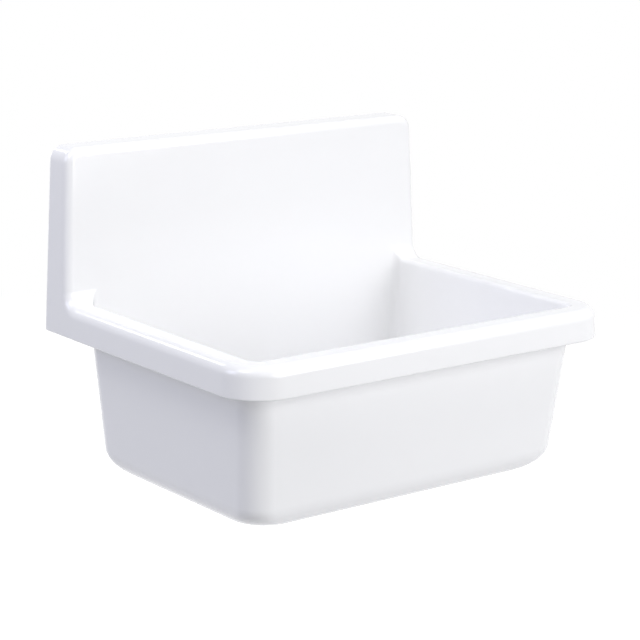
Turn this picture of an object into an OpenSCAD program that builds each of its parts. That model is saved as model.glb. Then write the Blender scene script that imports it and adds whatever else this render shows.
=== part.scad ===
// Wall-hung mop service sink: a one-piece glazed fireclay casting with its outlet
// fittings and its wall hanger. X runs along the wall, the front faces -Y and Z is up.
// The origin lies on the wall plane, on the centre line, at the level of the rim's top.

/* [Overall] */
// Width over the apron's lower edge
sink_w = 610; // [560:1:760]
// Depth from the wall to the apron's lower front edge
sink_d = 458; // [400:1:560]
// Height from the basin's underside to the rim's top
basin_h = 231; // [200:1:300]
// Height of the splashback above the rim's top
back_h = 208; // [190:1:320]

/* [Rim and apron] */
// Height of the apron below the rim's top
apron_h = 41.5; // [30:0.5:60]
// Lean of the apron and of the splashback's ends, in degrees
apron_draft = 2.6; // [0.5:0.1:4]
// Width of the rim at its top, from the apron's face to the basin's wall
rim_w = 38; // [34:0.5:50]
// Radius of the rim's outer top edge
rim_edge_r = 14.5; // [6:0.5:16]
// Radius of the rim's inner edge
inner_edge_r = 7; // [3:0.5:10]
// Plan radius of the rim's two front corners
front_corner_r = 57.5; // [35:0.5:80]
// Radius of the apron's lower edge at the wall
rear_edge_r = 7; // [3:0.5:12]

/* [Splashback] */
// Thickness of the splashback at the rim's level
back_t = 50; // [46:0.5:65]
// Lean of the splashback's face, in degrees
back_lean = 2.1; // [0.2:0.1:2.5]
// Radius of the splashback's front edges
back_edge_r = 11.5; // [5:0.5:14]
// Radius of the splashback's two top corners
back_corner_r = 21; // [17:0.5:50]
// Radius of the hollow curve where the rim meets the splashback
cove_r = 20; // [10:0.5:26]

/* [Basin] */
// Level thickness of the basin's walls
wall_t = 11; // [8:0.5:18]
// Thickness of the floor at the outlet
floor_t = 20; // [16:0.5:26]
// Fall of the floor from its edges to the outlet
floor_fall = 5; // [2:0.5:10]
// Lean of the basin's side walls, in degrees
side_taper = 4.7; // [2:0.1:8]
// Lean of the basin's front wall, in degrees
front_taper = 5.7; // [2:0.1:9]
// Lean of the basin's back wall, in degrees
back_taper = 3.9; // [2:0.1:8]
// Plan radius of the basin's corners inside, at the rim
inside_corner_r = 12; // [8:0.5:34]
// Plan radius of those corners at the floor
floor_corner_r = 26; // [16:0.5:50]
// Radius between the walls and the floor inside
floor_r = 25; // [15:0.5:26]
// Plan radius of the basin's corners outside, under the apron
outside_corner_r = 35; // [14:0.5:44]
// Plan radius of those corners at the underside
base_corner_r = 55; // [30:0.5:70]
// Radius between the walls and the underside outside
base_r = 34; // [25:0.5:42]

/* [Outlet] */
// Outer diameter of the outlet cup's threaded barrel
barrel_d = 88.4; // [80:0.1:98]
// Width of the outlet cup's flange outside the barrel
flange_w = 12.8; // [10:0.1:15]
// Thickness of the flange
flange_t = 2.4; // [1.8:0.1:3.2]
// Thickness of the sealing ring under the flange
seal_t = 1.2; // [0.8:0.1:2]
// Depth of the outlet cup below its flange
cup_h = 46; // [44:0.5:60]
// Thickness of the outlet cup's wall
cup_t = 3.2; // [2.4:0.1:4]
// Width of the ledge that the strainer grid rests on
ledge_w = 3; // [2:0.1:4]
// Depth of that ledge below the flange's underside
ledge_z = 6; // [4:0.1:9]
// Outer diameter of the outlet that the trap is screwed to
outlet_d = 47.8; // [42:0.1:52]
// Bore of the outlet
outlet_bore_d = 39; // [34:0.5:40]
// Length of the outlet below the cup
outlet_len = 15; // [12:0.5:20]
// Thickness of the rubber gasket under the floor
gasket_t = 3; // [2:0.1:5]
// Thickness of the friction ring
friction_t = 1.2; // [0.8:0.1:2]
// Height of the locknut
locknut_h = 11; // [8:0.5:14]
// Width of the locknut from the barrel to the ends of its lugs
locknut_w = 16.8; // [14:0.1:20]
// Height of the locknut's lugs over its ring
lug_h = 6; // [3:0.5:8]

/* [Strainer] */
// Thickness of the strainer grid
grid_t = 1.5; // [1.2:0.1:2.5]
// Height of the grid's raised edge
grid_edge_h = 3.5; // [3:0.1:5]
// Diameter of the holes in the grid
grid_hole_d = 5; // [3:0.1:5.5]
// Distance from one ring of holes to the next
grid_pitch = 8.6; // [8:0.1:9]
// Diameter of the lift knob
knob_d = 17; // [14:0.5:22]
// Height of the lift knob above the grid
knob_h = 15; // [12:0.5:20]
// Diameter of the knob's stem
stem_d = 5; // [4:0.5:6]

/* [Wall hanger] */
// Width of the hanger
hanger_w = 450; // [430:1:470]
// Height of the hanger below the casting's seat
hanger_h = 64; // [60:1:80]
// Thickness of the hanger's steel
hanger_t = 4; // [3:0.5:5]
// Distance from the splashback's top down to the casting's seat
hook_drop = 80; // [60:1:90]
// Height of the hooks above the seat
hook_rise = 18; // [12:0.5:22]
// Length of each hook along the wall
hook_len = 120; // [60:1:160]
// Thickness of the casting's lip that sits in the hooks
lip_t = 14.5; // [12:0.5:16]
// Distance from the casting's seat down to the upper wall screws
screw_drop = 18; // [14:0.5:24]
// Distance between the wall screws along the wall
screw_span_x = 406.4; // [380:0.1:410]
// Distance between the upper and the lower wall screws
screw_span_z = 32; // [26:0.5:34]
// Diameter of the wall screws
screw_d = 8; // [6:0.5:9]
// Length of the wall screws behind the wall plane
screw_reach = 60; // [40:1:90]
// Depth of the screws' undercut in front of the wall plane
undercut = 0.4; // [0.2:0.1:0.8]
// Width across the flats of the screw heads
head_w = 13; // [11:0.5:15]
// Height of the screw heads
head_h = 5.5; // [4:0.1:7]
// Diameter of the screws' washers
washer_d = 20; // [17:0.5:22]
// Thickness of the screws' washers
washer_t = 1.6; // [1:0.1:2.5]

/* [Clearances] */
// Gap left between pieces that are clamped together
seat_gap = 0.1; // [0.05:0.05:0.3]
// Gap round a screw or stem in its hole
hole_gap = 0.4; // [0.2:0.05:0.8]
// Room between the barrel and the hole in the floor
barrel_room = 1.3; // [0.8:0.1:2]
// Room between the barrel and the rings round it
ring_room = 0.5; // [0.3:0.05:0.7]
// Room round the flange in its seat
flange_room = 1.5; // [0.5:0.1:3]
// Gap between the strainer and the outlet cup
lift_gap = 0.3; // [0.2:0.05:0.6]
// Gap between the casting's lip and the hooks
hook_gap = 0.5; // [0.3:0.1:1]
// Room round the hanger in the casting's recess
recess_room = 10; // [6:0.5:14]
// Height that the casting is lifted by to unhook it
unhook_room = 32; // [26:1:36]

/* [Hidden] */

$fn = 72;
glaze_white = [0.95, 0.95, 0.96];
rubber_black = [0.12, 0.12, 0.13];
steel_bright = [0.78, 0.79, 0.8];
zinc_grey = [0.66, 0.68, 0.7];
fibre_tan = [0.78, 0.7, 0.55];
overcut = 1;

// Sizes, levels and places that follow from the sizes above
outlet_hole_d = barrel_d + 2 * barrel_room;
ring_in_d = barrel_d + 2 * ring_room;
flange_d = barrel_d + 2 * flange_w;
nut_ring_d = barrel_d + 2 * (locknut_w - lug_h);
floor_z = -basin_h + floor_t;
floor_edge_z = floor_z + floor_fall;
rim_half_w = side_x(0);
cove_y = -(back_t - tan(back_lean) * cove_r);
drain_y = (front_in_y(floor_edge_z) + back_in_y(floor_edge_z)) / 2;
flange_seat_z = floor_z - flange_t - seal_t - 2 * seat_gap;
flange_under_z = flange_seat_z + seal_t + 2 * seat_gap;
nut_top_z = -basin_h - gasket_t - friction_t - 3 * seat_gap;
seat_z = back_h - hook_drop;
bend_r = 3;
hook_y = -(lip_t + bend_r + hook_gap);
recess_t = -hook_y + 2 * hanger_t;
screw_rows_z = [seat_z - screw_drop - screw_span_z, seat_z - screw_drop];
washer_out = hanger_t + seat_gap + washer_t;

// Faces of the casting. The side and front faces lean in from the apron's lower edge.
function side_x(z) = sink_w / 2 - tan(apron_draft) * (z + apron_h);
function front_y(z) = -sink_d + tan(apron_draft) * (z + apron_h);
function back_y(z) = -(back_t - tan(back_lean) * z);
function side_in_x(z) = rim_half_w - rim_w + tan(side_taper) * min(z, 0);
function front_in_y(z) = front_y(0) + rim_w - tan(front_taper) * min(z, 0);
function back_in_y(z) = cove_y + tan(back_taper) * min(z, 0);

// The casting's skin is a stack of closed rings. Each ring runs from the middle of the
// back over the left side to the middle of the front, and its right half mirrors that.
// These are the numbers of steps in each stretch of the half ring.
top_n = 3;
corner_n = 5;
post_n = 2;
cove_n = 6;
rear_n = 2;
side_n = 2;
turn_n = 7;
front_n = 2;
edge_n = 4;
fillet_n = 5;
back_n = top_n + corner_n + 1 + post_n;
half_n = back_n + cove_n + 1 + rear_n + side_n + turn_n + 1 + front_n;
ring_n = 2 * half_n - 2;

function mix(a, b, t) = a + (b - a) * t;
function unit(v) = v / norm(v);
function slerp(a, b, t) =
    let (angle = acos(min(1, a * b)))
    (sin((1 - t) * angle) * a + sin(t * angle) * b) / sin(angle);

// Points of a rounded edge between two faces with normals a and b, that meet at p
function round_edge(p, a, b, r) =
    a == b ? [for (i = [0 : edge_n]) p] :
    let (centre = p - r * (a + b) / (1 + a * b))
    [for (i = [0 : edge_n]) centre + r * slerp(a, b, i / edge_n)];

// Outer edge of the top and the face: each entry is [point, outer normal, facing normal, radius]
function outer_edge() =
    let (
        corner_z = back_h - back_corner_r,
        corner_x = side_x(corner_z) - back_corner_r / cos(apron_draft),
        face = [0, -cos(back_lean), sin(back_lean)],
        side = [-cos(apron_draft), 0, sin(apron_draft)],
        post_top = corner_z + back_corner_r * sin(apron_draft),
        rear_y = cove_y - cove_r,
        turn_x = rim_half_w - front_corner_r,
        turn_y = front_y(0) + front_corner_r,
        rear_end_y = inside_corner_r > cove_r ? cove_y - inside_corner_r :
            mix(rear_y, turn_y, rear_n / (rear_n + side_n + 1))
    )
    concat(
        [for (i = [0 : top_n - 1])
            [[-corner_x * i / top_n, back_y(back_h), back_h], [0, 0, 1], face, back_edge_r]],
        [for (i = [0 : corner_n])
            let (a = mix(90, apron_draft, i / corner_n), z = corner_z + back_corner_r * sin(a))
            [[-corner_x - back_corner_r * cos(a), back_y(z), z],
                [-cos(a), 0, sin(a)], face, back_edge_r]],
        [for (i = [1 : post_n])
            let (z = mix(post_top, cove_r, i / (post_n + 1)))
            [[-side_x(z), back_y(z), z], side, face, back_edge_r]],
        [for (i = [0 : cove_n])
            let (t = i / cove_n, a = 90 * (1 - t), z = cove_r * (1 - cos(a)))
            [[-side_x(z), cove_y - cove_r * (1 - sin(a)), z], side, [0, -sin(a), cos(a)],
                mix(back_edge_r, rim_edge_r, t)]],
        [for (i = [1 : rear_n])
            [[-rim_half_w, mix(rear_y, rear_end_y, i / rear_n), 0], side, [0, 0, 1], rim_edge_r]],
        [for (i = [1 : side_n])
            [[-rim_half_w, mix(rear_end_y, turn_y, i / (side_n + 1)), 0],
                side, [0, 0, 1], rim_edge_r]],
        [for (i = [0 : turn_n])
            let (a = 90 * i / turn_n)
            [[-turn_x - front_corner_r * cos(a), turn_y - front_corner_r * sin(a), 0],
                [-cos(a) * cos(apron_draft), -sin(a) * cos(apron_draft), sin(apron_draft)],
                [0, 0, 1], rim_edge_r]],
        [for (i = [1 : front_n])
            [[-turn_x * (1 - i / front_n), front_y(0), 0],
                [0, -cos(apron_draft), sin(apron_draft)], [0, 0, 1], rim_edge_r]]
    );

// Border of the outer faces: along the wall behind the splashback, and the apron's lower edge
function lower_edge(top) =
    [for (i = [0 : half_n - 1])
        let (
            p = top[i][0],
            t = (i - back_n) / cove_n,
            turn = i - (half_n - front_n - turn_n - 1),
            a = 90 * turn / turn_n,
            lower_turn = [-sink_w / 2 + front_corner_r, -sink_d + front_corner_r]
        )
        t < 0 ? [p[0], 0, p[2]] :
        t <= 0.5 ? let (z = mix(cove_r, -apron_h, 2 * t)) [-side_x(z), 0, z] :
        t < 1 ? [-sink_w / 2, (cove_y - cove_r) * (2 * t - 1), -apron_h] :
        turn < 0 ? [-sink_w / 2, p[1], -apron_h] :
        turn <= turn_n ? [lower_turn[0] - front_corner_r * cos(a),
            lower_turn[1] - front_corner_r * sin(a), -apron_h] :
        [lower_turn[0] * (1 - (turn - turn_n) / front_n), -sink_d, -apron_h]
    ];

// Border of the apron's underside: the wall line at the back, the apron's edge elsewhere
function under_edge(lower) =
    let (wall_n = back_n + cove_n / 2)
    [for (i = [0 : half_n - 1])
        i < wall_n ? [-sink_w / 2 * i / wall_n, 0, -apron_h] : lower[i]
    ];

// Distance of the cove's step i from the splashback's foot, the angle round the basin's
// rear corner at which its wall meets that step, and the length of wall past that corner
function cove_run(i) = cove_r * (1 - cos(90 * i / cove_n));
function rear_angle(i) = asin(max(0, 1 - cove_run(i) / inside_corner_r));
function rear_run(i) = max(0, cove_run(i) - inside_corner_r);

// Half outline of the basin at one level. Its corners have the radius r, and its columns
// along the cove lie at these angles round the rear corner and runs past it.
function basin_half(x, y_front, y_back, z, r, angles, runs) =
    let (
        rest_n = rear_n + side_n,
        last = angles[cove_n],
        side_from = y_back - r - runs[cove_n],
        side_to = y_front + r
    )
    concat(
        [for (i = [0 : back_n - 1]) [-(x - r) * i / back_n, y_back, z]],
        [for (i = [0 : cove_n])
            let (a = angles[i])
            [-(x - r) - r * cos(a), y_back - r + r * sin(a) - runs[i], z]],
        [for (i = [1 : rear_n])
            let (a = last * (1 - i / rear_n))
            last > 0 ? [-(x - r) - r * cos(a), y_back - r + r * sin(a), z] :
            [-x, mix(side_from, side_to, i / (rest_n + 1)), z]],
        [for (i = [1 : side_n])
            let (t = last > 0 ? i / (side_n + 1) : (rear_n + i) / (rest_n + 1))
            [-x, mix(side_from, side_to, t), z]],
        [for (i = [0 : turn_n])
            let (a = 90 * i / turn_n)
            [-(x - r) - r * cos(a), y_front + r - r * sin(a), z]],
        [for (i = [1 : front_n]) [-(x - r) * (1 - i / front_n), y_front, z]]
    );

inside_angles = [for (i = [0 : cove_n]) rear_angle(i)];
inside_runs = [for (i = [0 : cove_n]) rear_run(i)];
outside_angles = [for (i = [0 : cove_n]) 90 * (1 - i / cove_n)];
outside_runs = [for (i = [0 : cove_n]) 0];

// Half rings of the basin's walls, set in towards the floor and the underside, where the
// corners grow rounder
function inside_half(z, inset) =
    basin_half(side_in_x(z) - inset, front_in_y(z) + inset, back_in_y(z) - inset, z,
        mix(inside_corner_r, floor_corner_r, inset / floor_r), inside_angles, inside_runs);
function outside_half(z, inset) =
    basin_half(side_in_x(z) + wall_t - inset, front_in_y(z) - wall_t + inset,
        back_in_y(z) + wall_t - inset, z,
        mix(outside_corner_r, base_corner_r, inset / base_r), outside_angles, outside_runs);

// Inner edge of the rim: [point, facing normal, wall normal]. Towards the splashback it
// climbs the cove and runs out on the splashback's face.
function inner_edge() =
    let (plan = inside_half(0, 0), lean = [0, 0, sin(side_taper)], c = cos(side_taper))
    [for (i = [0 : half_n - 1])
        let (
            step = i - back_n,
            a = 90 * (1 - step / cove_n),
            face = step <= 0 ? [0, -1, 0] : step < cove_n ? [0, -sin(a), cos(a)] : [0, 0, 1],
            z = step <= 0 ? cove_r : step < cove_n ? cove_r * (1 - cos(a)) : 0,
            turn = i - (half_n - front_n - turn_n - 1),
            b = step <= cove_n ? rear_angle(max(step, 0)) :
                step <= cove_n + rear_n ? rear_angle(cove_n) * (1 - (step - cove_n) / rear_n) :
                -90 * min(max(turn, 0), turn_n) / turn_n,
            wall = step <= 0 ? face : c * [cos(b), -sin(b), 0] + lean
        )
        [[plan[i][0], plan[i][1], z], face, wall]
    ];

function drain_circle(half, r, z) =
    [for (p = half)
        let (d = unit([p[0], p[1] - drain_y]))
        [r * d[0], drain_y + r * d[1], z]];

function full_ring(half) =
    concat(half, [for (i = [half_n - 2 : -1 : 1]) [-half[i][0], half[i][1], half[i][2]]]);

// Flat lands round the outlet, outside its hole underneath and outside the flange above
under_land_w = 24;
floor_land_w = 6;

// Rings of the skin, from the underside over the rim to the floor
function casting_rings() =
    let (
        edge_end_z = -1.8 * inner_edge_r,
        top = outer_edge(),
        lower = lower_edge(top),
        top_arcs = [for (e = top) round_edge(e[0], e[1], e[2], e[3])],
        inner_arcs = [for (e = inner_edge()) round_edge(e[0], e[1], e[2], inner_edge_r)],
        base_arc = [for (i = [fillet_n : -1 : 0]) 90 * i / fillet_n],
        floor_arc = [for (i = [0 : fillet_n]) 90 * i / fillet_n]
    )
    concat(
        [drain_circle(outside_half(-basin_h, base_r), outlet_hole_d / 2 + under_land_w, -basin_h)],
        [for (a = base_arc)
            outside_half(-basin_h + base_r * (1 - sin(a)), base_r * (1 - cos(a)))],
        [outside_half(-apron_h, 0), under_edge(lower), lower],
        [for (j = [0 : edge_n]) [for (arc = top_arcs) arc[j]]],
        [for (j = [0 : edge_n]) [for (arc = inner_arcs) arc[j]]],
        [inside_half(edge_end_z, 0)],
        [for (a = floor_arc)
            inside_half(floor_edge_z + floor_r * (1 - sin(a)), floor_r * (1 - cos(a)))],
        [drain_circle(inside_half(floor_edge_z, floor_r), flange_d / 2 + floor_land_w, floor_z)]
    );

module casting() {
    rings = [for (half = casting_rings()) full_ring(half)];
    last = len(rings) - 1;
    function id(i, j) =
        i > 0 && rings[i][j] == rings[i - 1][j] ? id(i - 1, j) : i * ring_n + j;
    function triangle(a, b, c) = a == b || b == c || a == c ? [] : [[a, b, c]];
    under_centre = (last + 1) * ring_n;
    floor_centre = under_centre + 1;
    points = concat([for (ring = rings) each ring],
        [[0, drain_y, -basin_h], [0, drain_y, floor_z]]);
    skin = [for (i = [0 : last - 1]) for (j = [0 : ring_n - 1])
        let (k = (j + 1) % ring_n)
        each concat(triangle(id(i, j), id(i + 1, j), id(i + 1, k)),
            triangle(id(i, j), id(i + 1, k), id(i, k)))];
    caps = [for (j = [0 : ring_n - 1])
        let (k = (j + 1) % ring_n)
        each [[under_centre, id(0, j), id(0, k)], [floor_centre, id(last, k), id(last, j)]]];
    polyhedron(points, concat(skin, caps), convexity = 8);
}

// A slot in the back of the casting, from the plane y = from_y to y = to_y
module back_slot(half_w, low_z, high_z, from_y, to_y, r) {
    depth = from_y - to_y;
    translate([-half_w, to_y, low_z + r]) cube([2 * half_w, depth, high_z - low_z - 2 * r]);
    translate([-half_w + r, to_y, low_z]) cube([2 * (half_w - r), depth, high_z - low_z]);
    for (x = [-half_w + r, half_w - r], z = [low_z + r, high_z - r])
        translate([x, from_y, z]) rotate([90, 0, 0]) cylinder(h = depth, r = r);
}

module hanger_recess() {
    half_w = hanger_w / 2 + recess_room;
    corner_r = 8;
    back_slot(half_w, seat_z - hanger_h - unhook_room, seat_z, overcut, -recess_t, corner_r);
    back_slot(half_w, seat_z - 3 * corner_r, seat_z + unhook_room, -lip_t, -recess_t, corner_r);
}

module outlet_seat() {
    translate([0, drain_y, -basin_h - overcut]) cylinder(h = basin_h, d = outlet_hole_d);
    translate([0, drain_y, flange_seat_z]) cylinder(h = floor_t, d = flange_d + 2 * flange_room);
}

// What is cut off the apron's lower edge at the wall, to round it
module rear_edge() {
    translate([-sink_w / 2 - overcut, -rear_edge_r, -apron_h - overcut])
    difference() {
        cube([sink_w + 2 * overcut, rear_edge_r + overcut, rear_edge_r + overcut]);
        translate([-overcut, 0, rear_edge_r + overcut]) rotate([0, 90, 0])
            cylinder(h = sink_w + 4 * overcut, r = rear_edge_r);
    }
}

module sink_body() {
    color(glaze_white)
    difference() {
        casting();
        outlet_seat();
        hanger_recess();
        rear_edge();
    }
}

// A flat ring round the outlet's axis, with its lower face at z
module drain_ring(inner_d, outer_d, z, h) {
    translate([0, drain_y, z]) difference() {
        cylinder(h = h, d = outer_d);
        translate([0, 0, -overcut]) cylinder(h = h + 2 * overcut, d = inner_d);
    }
}

// Zigzag outline of a thread's crests and roots, from z_low up to z_high
function thread_outline(r, pitch, depth, z_low, z_high) =
    let (n = floor((z_high - z_low) / pitch))
    [for (i = [0 : n - 1], s = [0, 1]) [r - depth * (1 - s), z_low + pitch * (i + s / 2)]];

module drain_body() {
    barrel_r = barrel_d / 2;
    cup_r = barrel_r - cup_t;
    mouth_r = cup_r + 2;
    under_r = cup_r - ledge_w;
    outlet_r = outlet_d / 2;
    bore_r = outlet_bore_d / 2;
    lip_r = flange_d / 2;
    lip_slope_w = 4;
    mouth_slope_w = 2.5;
    sump_slope = 6;
    chamfer = 1;
    pitch = 3;
    thread_low = -cup_h + 4;
    thread_high = -8;
    outlet_low = -cup_h - outlet_len;
    color(steel_bright)
    translate([0, drain_y, flange_under_z])
    rotate_extrude()
    polygon(concat(
        [[barrel_r, 0], [lip_r - chamfer, 0], [lip_r, 0.3 * flange_t], [lip_r, 0.5 * flange_t],
            [lip_r - lip_slope_w, flange_t], [mouth_r + mouth_slope_w, flange_t],
            [mouth_r, 0.5 * flange_t], [cup_r, -2 * chamfer], [cup_r, -ledge_z],
            [under_r, -ledge_z], [under_r, -cup_h + cup_t + sump_slope],
            [under_r - sump_slope, -cup_h + cup_t], [bore_r + chamfer, -cup_h + cup_t],
            [bore_r, -cup_h + cup_t - chamfer], [bore_r, outlet_low],
            [outlet_r - chamfer, outlet_low], [outlet_r, outlet_low + chamfer],
            [outlet_r, -cup_h], [barrel_r - sump_slope, -cup_h]],
        thread_outline(barrel_r, pitch, chamfer, thread_low, thread_high),
        [[barrel_r - chamfer, thread_high], [barrel_r, thread_high + chamfer]]
    ));
}

module flange_seal() {
    color(rubber_black)
    drain_ring(ring_in_d, flange_d - 2, flange_seat_z + seat_gap, seal_t);
}

module drain_gasket() {
    color(rubber_black)
    drain_ring(ring_in_d, flange_d, -basin_h - seat_gap - gasket_t, gasket_t);
}

module friction_ring() {
    color(fibre_tan)
    drain_ring(ring_in_d, nut_ring_d, nut_top_z + seat_gap, friction_t);
}

module drain_locknut() {
    lugs = 6;
    lug_w = 16;
    locknut_d = nut_ring_d + 2 * lug_h;
    color(zinc_grey)
    translate([0, drain_y, nut_top_z - locknut_h])
    difference() {
        union() {
            cylinder(h = locknut_h, d = nut_ring_d);
            intersection() {
                cylinder(h = locknut_h, d = locknut_d);
                for (i = [0 : lugs / 2 - 1]) rotate([0, 0, i * 360 / lugs])
                    translate([-locknut_d / 2, -lug_w / 2, 0]) cube([locknut_d, lug_w, locknut_h]);
            }
        }
        translate([0, 0, -overcut]) cylinder(h = locknut_h + 2 * overcut, d = barrel_d + 2 * hole_gap);
    }
}

// Levels of the strainer grid's underside and of its plate's top, and the knob's fastening
grid_z = flange_under_z - ledge_z + lift_gap;
grid_top_z = grid_z + grid_t;
stem_hole_d = stem_d + 2 * hole_gap;
knob_washer_t = 0.8;
knob_nut_h = 3.5;

module strainer_grid() {
    grid_r = barrel_d / 2 - cup_t - lift_gap;
    edge_w = 1.2;
    plate_r = grid_r - 2 * edge_w;
    rows = 3;
    last_row_r = plate_r - grid_pitch;
    color(steel_bright)
    translate([0, drain_y, grid_z])
    difference() {
        rotate_extrude()
        polygon([[0, 0], [grid_r, 0], [grid_r, grid_edge_h], [grid_r - edge_w, grid_edge_h],
            [plate_r, grid_t], [0, grid_t]]);
        translate([0, 0, -overcut]) cylinder(h = grid_t + 2 * overcut, d = stem_hole_d);
        for (row = [1 : rows], i = [0 : 6 * row - 1])
            rotate([0, 0, 60 * i / row])
            translate([last_row_r - grid_pitch * (rows - row), 0, -overcut])
            cylinder(h = grid_t + 2 * overcut, d = grid_hole_d, $fn = 24);
    }
}

module lift_knob() {
    r = knob_d / 2;
    foot_r = 6;
    neck_r = 3.5;
    stem_low = -grid_t - knob_washer_t - 1.8 * knob_nut_h;
    head_z = knob_h - 0.55 * r;
    color(steel_bright)
    translate([0, drain_y, grid_top_z])
    rotate_extrude()
    polygon(concat(
        [[0, stem_low], [stem_d / 2 - 0.5, stem_low], [stem_d / 2, stem_low + 0.5],
            [stem_d / 2, seat_gap], [foot_r, seat_gap], [foot_r, seat_gap + 1],
            [neck_r, seat_gap + 3], [neck_r, head_z - 0.45 * r]],
        [for (a = [-30 : 15 : 75]) [r * cos(a), head_z + 0.55 * r * sin(a)]],
        [[0, knob_h]]
    ));
}

module knob_washer() {
    color(steel_bright)
    drain_ring(stem_hole_d, 2.4 * stem_d, grid_z - seat_gap - knob_washer_t, knob_washer_t);
}

module knob_nut() {
    nut_w = 1.6 * stem_d;
    color(steel_bright)
    translate([0, drain_y, grid_z - 2 * seat_gap - knob_washer_t - knob_nut_h])
    difference() {
        cylinder(h = knob_nut_h, d = nut_w / cos(30), $fn = 6);
        translate([0, 0, -overcut])
            cylinder(h = knob_nut_h + 2 * overcut, d = stem_d + 2 * seat_gap);
    }
}

// A quarter of a bent strip of the hanger's steel, in its section's plane
module bend(turn) {
    rotate(turn) intersection() {
        difference() {
            circle(r = bend_r + hanger_t);
            circle(r = bend_r);
        }
        square(2 * (bend_r + hanger_t));
    }
}

// The hanger's section: x is the distance from the wall, y is the height over the seat
module hanger_section(hooked) {
    reach = bend_r + hanger_t;
    translate([0, -hanger_h]) square([hanger_t, hanger_h - reach]);
    translate([reach, -reach]) bend(90);
    translate([reach, -hanger_t]) square([-hook_y - bend_r - reach, hanger_t]);
    if (hooked) {
        translate([-hook_y - bend_r, bend_r]) bend(-90);
        translate([-hook_y, bend_r]) square([hanger_t, hook_rise - bend_r]);
    }
}

module hanger_strip(from_x, to_x, hooked) {
    translate([from_x, 0, seat_z - seat_gap])
    rotate([90, 0, 90]) mirror([1, 0, 0])
    linear_extrude(to_x - from_x) hanger_section(hooked);
}

module at_screws() {
    for (x = [-screw_span_x / 2, screw_span_x / 2], z = screw_rows_z)
        translate([x, 0, z]) rotate([90, 0, 0]) children();
}

module wall_hanger() {
    half_w = hanger_w / 2;
    color(zinc_grey)
    difference() {
        union() {
            hanger_strip(-half_w, -half_w + hook_len, true);
            hanger_strip(-half_w + hook_len, half_w - hook_len, false);
            hanger_strip(half_w - hook_len, half_w, true);
        }
        at_screws() translate([0, 0, -overcut])
            cylinder(h = hanger_t + 2 * overcut, d = screw_d + 2 * hole_gap);
    }
}

module hanger_washers() {
    color(steel_bright)
    at_screws() translate([0, 0, hanger_t + seat_gap]) difference() {
        cylinder(h = washer_t, d = washer_d);
        translate([0, 0, -overcut])
            cylinder(h = washer_t + 2 * overcut, d = screw_d + 2 * hole_gap);
    }
}

module hanger_screws() {
    r = screw_d / 2;
    neck_r = r - undercut;
    head_low = washer_out + seat_gap;
    tip_h = 8;
    tip_r = 0.8;
    plain_len = 14;
    thread_low = -screw_reach + tip_h;
    color(steel_bright)
    at_screws() {
        translate([0, 0, head_low]) cylinder(h = head_h, d = head_w / cos(30), $fn = 6);
        rotate_extrude($fn = 36)
        polygon(concat(
            [[0, head_low + overcut], [0, -screw_reach], [tip_r, -screw_reach + tip_r]],
            thread_outline(r, 3, 0.9, thread_low, -plain_len),
            [[r, -plain_len], [r, 0], [neck_r, 0], [neck_r, head_low + overcut]]
        ));
    }
}

sink_body();
drain_body();
flange_seal();
strainer_grid();
lift_knob();
knob_washer();
knob_nut();
drain_gasket();
friction_ring();
drain_locknut();
wall_hanger();
hanger_washers();
hanger_screws();
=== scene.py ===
"""A wall-hung mop service sink: the glazed casting, its outlet fittings and its hanger, built
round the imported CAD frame. Lengths are metres. X runs along the wall, the front faces -Y."""
import math

import bmesh
import bpy
from mathutils import Matrix, Vector


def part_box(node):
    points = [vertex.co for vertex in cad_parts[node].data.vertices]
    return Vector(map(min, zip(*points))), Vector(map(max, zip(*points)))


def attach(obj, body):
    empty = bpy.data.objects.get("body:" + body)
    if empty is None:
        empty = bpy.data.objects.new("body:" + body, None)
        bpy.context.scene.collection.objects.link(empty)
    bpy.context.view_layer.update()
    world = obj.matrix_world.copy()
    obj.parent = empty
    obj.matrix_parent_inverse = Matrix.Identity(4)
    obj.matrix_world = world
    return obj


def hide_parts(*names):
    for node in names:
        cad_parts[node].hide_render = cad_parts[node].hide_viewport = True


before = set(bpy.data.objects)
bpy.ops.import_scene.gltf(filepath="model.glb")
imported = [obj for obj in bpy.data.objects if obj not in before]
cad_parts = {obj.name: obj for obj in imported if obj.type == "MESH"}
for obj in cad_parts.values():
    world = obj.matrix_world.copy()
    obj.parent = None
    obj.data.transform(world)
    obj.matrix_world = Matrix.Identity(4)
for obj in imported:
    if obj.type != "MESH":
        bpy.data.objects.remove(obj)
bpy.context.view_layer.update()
MM = 0.001

bl_info = {
    "name": "Mop Service Sink",
    "version": (1, 0, 0),
    "blender": (4, 5, 0),
    "location": "3D View > Sidebar > Sink",
    "description": "Models a glazed service sink, its outlet fittings and its wall hanger",
    "category": "Add Mesh",
}


# ---- Sizes and colours -------------------------------------------------------------------

def length(name, description, millimetres):
    """A panel entry for one length, with its default in millimetres."""
    return bpy.props.FloatProperty(
        name=name, description=description, default=millimetres * MM, min=0,
        subtype="DISTANCE", unit="LENGTH", precision=4)


def angle(name, description, degrees):
    """A panel entry for one angle, with its default in degrees."""
    return bpy.props.FloatProperty(
        name=name, description=description, default=math.radians(degrees),
        subtype="ANGLE", unit="ROTATION")


def colour(name, description, default):
    """A panel entry for one colour."""
    return bpy.props.FloatVectorProperty(
        name=name, description=description, default=default, size=3, min=0, max=1,
        subtype="COLOR")


def factor(name, description, default, high=1):
    """A panel entry for one plain number."""
    return bpy.props.FloatProperty(
        name=name, description=description, default=default, min=0, max=high)


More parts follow.
